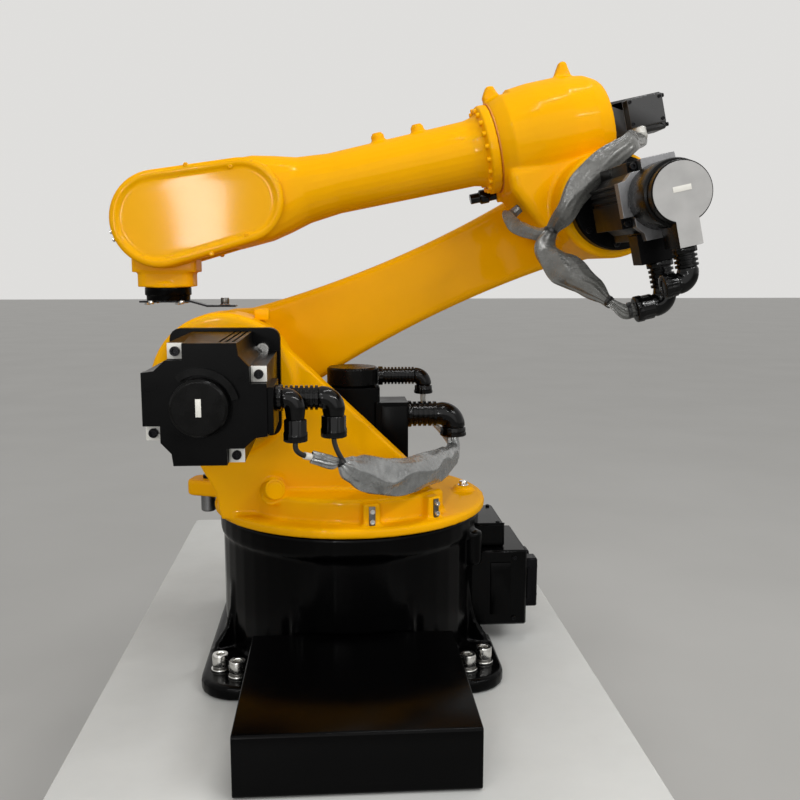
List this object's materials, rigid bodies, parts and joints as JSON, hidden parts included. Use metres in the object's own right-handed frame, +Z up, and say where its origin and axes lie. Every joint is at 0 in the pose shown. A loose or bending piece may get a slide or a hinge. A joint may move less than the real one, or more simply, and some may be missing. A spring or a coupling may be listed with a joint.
{
  "type": "industrial robot arm",
  "caption": "Jointed industrial handling arm, folded back on its turntable and bolted to a low welded steel plinth with gusseted feet.",
  "frame": {"origin": "on the floor, at the centre of the part's bounding box seen from above; the turning column's axis is 46 mm to its left, at x = -0.0456 m", "axes": "+Z up; +Y along the plinth, away from the shoulder and elbow motors; +X from the column towards the elbow"},
  "size_m": [1.2472, 2.136, 1.4942],
  "materials": {
    "yellow_paint": "gloss",
    "gloss_black_paint": "gloss",
    "motor_black": "satin",
    "connector_black": "matte",
    "plinth_grey_paint": "satin",
    "bare_aluminium": "satin",
    "turned_steel": "satin",
    "grey_vinyl": "satin",
    "cap_dark_grey": "satin"
  },
  "bodies": {
    "base_and_plinth": {"plinth_top_plate": "plinth_grey_paint", "plinth_side_rail_left": "plinth_grey_paint", "plinth_side_rail_right": "plinth_grey_paint", "plinth_lower_panel_left": "plinth_grey_paint", "plinth_lower_panel_right": "plinth_grey_paint", "plinth_end_rail_front": "plinth_grey_paint", "plinth_end_rail_back": "plinth_grey_paint", "plinth_foot_front_left": "plinth_grey_paint", "plinth_foot_front_right": "plinth_grey_paint", "plinth_foot_back_left": "plinth_grey_paint", "plinth_foot_back_right": "plinth_grey_paint", "base_casting": "gloss_black_paint", "front_bracket": "gloss_black_paint", "connector_housing": "gloss_black_paint", "connector_upper_box": "gloss_black_paint", "power_connector": "bare_aluminium", "signal_connector": "bare_aluminium"},
    "turning_column": {"turntable_casting": "yellow_paint", "stop_dog": "bare_aluminium", "column_motor": "motor_black", "column_motor_cap": "cap_dark_grey", "column_signal_plug": "connector_black", "column_power_plug": "connector_black", "shoulder_motor": "motor_black", "shoulder_motor_cap": "cap_dark_grey", "shoulder_signal_plug": "connector_black", "shoulder_power_plug": "connector_black", "lower_cable_sleeve": "grey_vinyl"},
    "lower_arm_link": {"lower_arm": "yellow_paint"},
    "elbow_link": {"elbow_casting": "yellow_paint", "elbow_gland": "connector_black", "elbow_adapter": "motor_black", "elbow_motor": "motor_black", "elbow_motor_plate": "bare_aluminium", "elbow_motor_cap": "cap_dark_grey", "elbow_signal_plug": "connector_black", "elbow_power_plug": "connector_black", "roll_motor": "motor_black", "upper_cable_sleeve": "grey_vinyl"},
    "forearm_link": {"forearm_casting": "yellow_paint", "wrist_cover_near": "yellow_paint", "wrist_cover_far": "yellow_paint"},
    "wrist_link": {"wrist_block": "yellow_paint"},
    "tool_link": {"tool_flange": "gloss_black_paint", "tool_bracket": "turned_steel"}
  },
  "joints": [
    {"name": "joint_1_turn", "type": "hinge", "parent": "base_and_plinth", "child": "turning_column", "pos_m": [-0.04564, 0, 0.555], "axis": [0, 0, 1], "range_deg": [-170, 170]},
    {"name": "joint_2_shoulder", "type": "hinge", "parent": "turning_column", "child": "lower_arm_link", "pos_m": [-0.29564, 0, 0.838], "axis": [0, -1, 0], "range_deg": [-3, 105]},
    {"name": "joint_3_elbow", "type": "hinge", "parent": "lower_arm_link", "child": "elbow_link", "pos_m": [0.46932, 0, 1.18984], "axis": [0, 1, 0], "range_deg": [0, 215]},
    {"name": "joint_4_roll", "type": "hinge", "parent": "elbow_link", "child": "forearm_link", "pos_m": [0.43296, 0, 1.35386], "axis": [0.9763, 0, 0.2164], "range_deg": [-180, 180]},
    {"name": "joint_5_wrist", "type": "hinge", "parent": "forearm_link", "child": "wrist_link", "pos_m": [-0.42618, 0, 1.16339], "axis": [0, -1, 0], "range_deg": [-192.5, 37.5]},
    {"name": "joint_6_tool", "type": "hinge", "parent": "wrist_link", "child": "tool_link", "pos_m": [-0.42618, 0, 0.99839], "axis": [0, 0, 1], "range_deg": [-360, 360]}
  ]
}
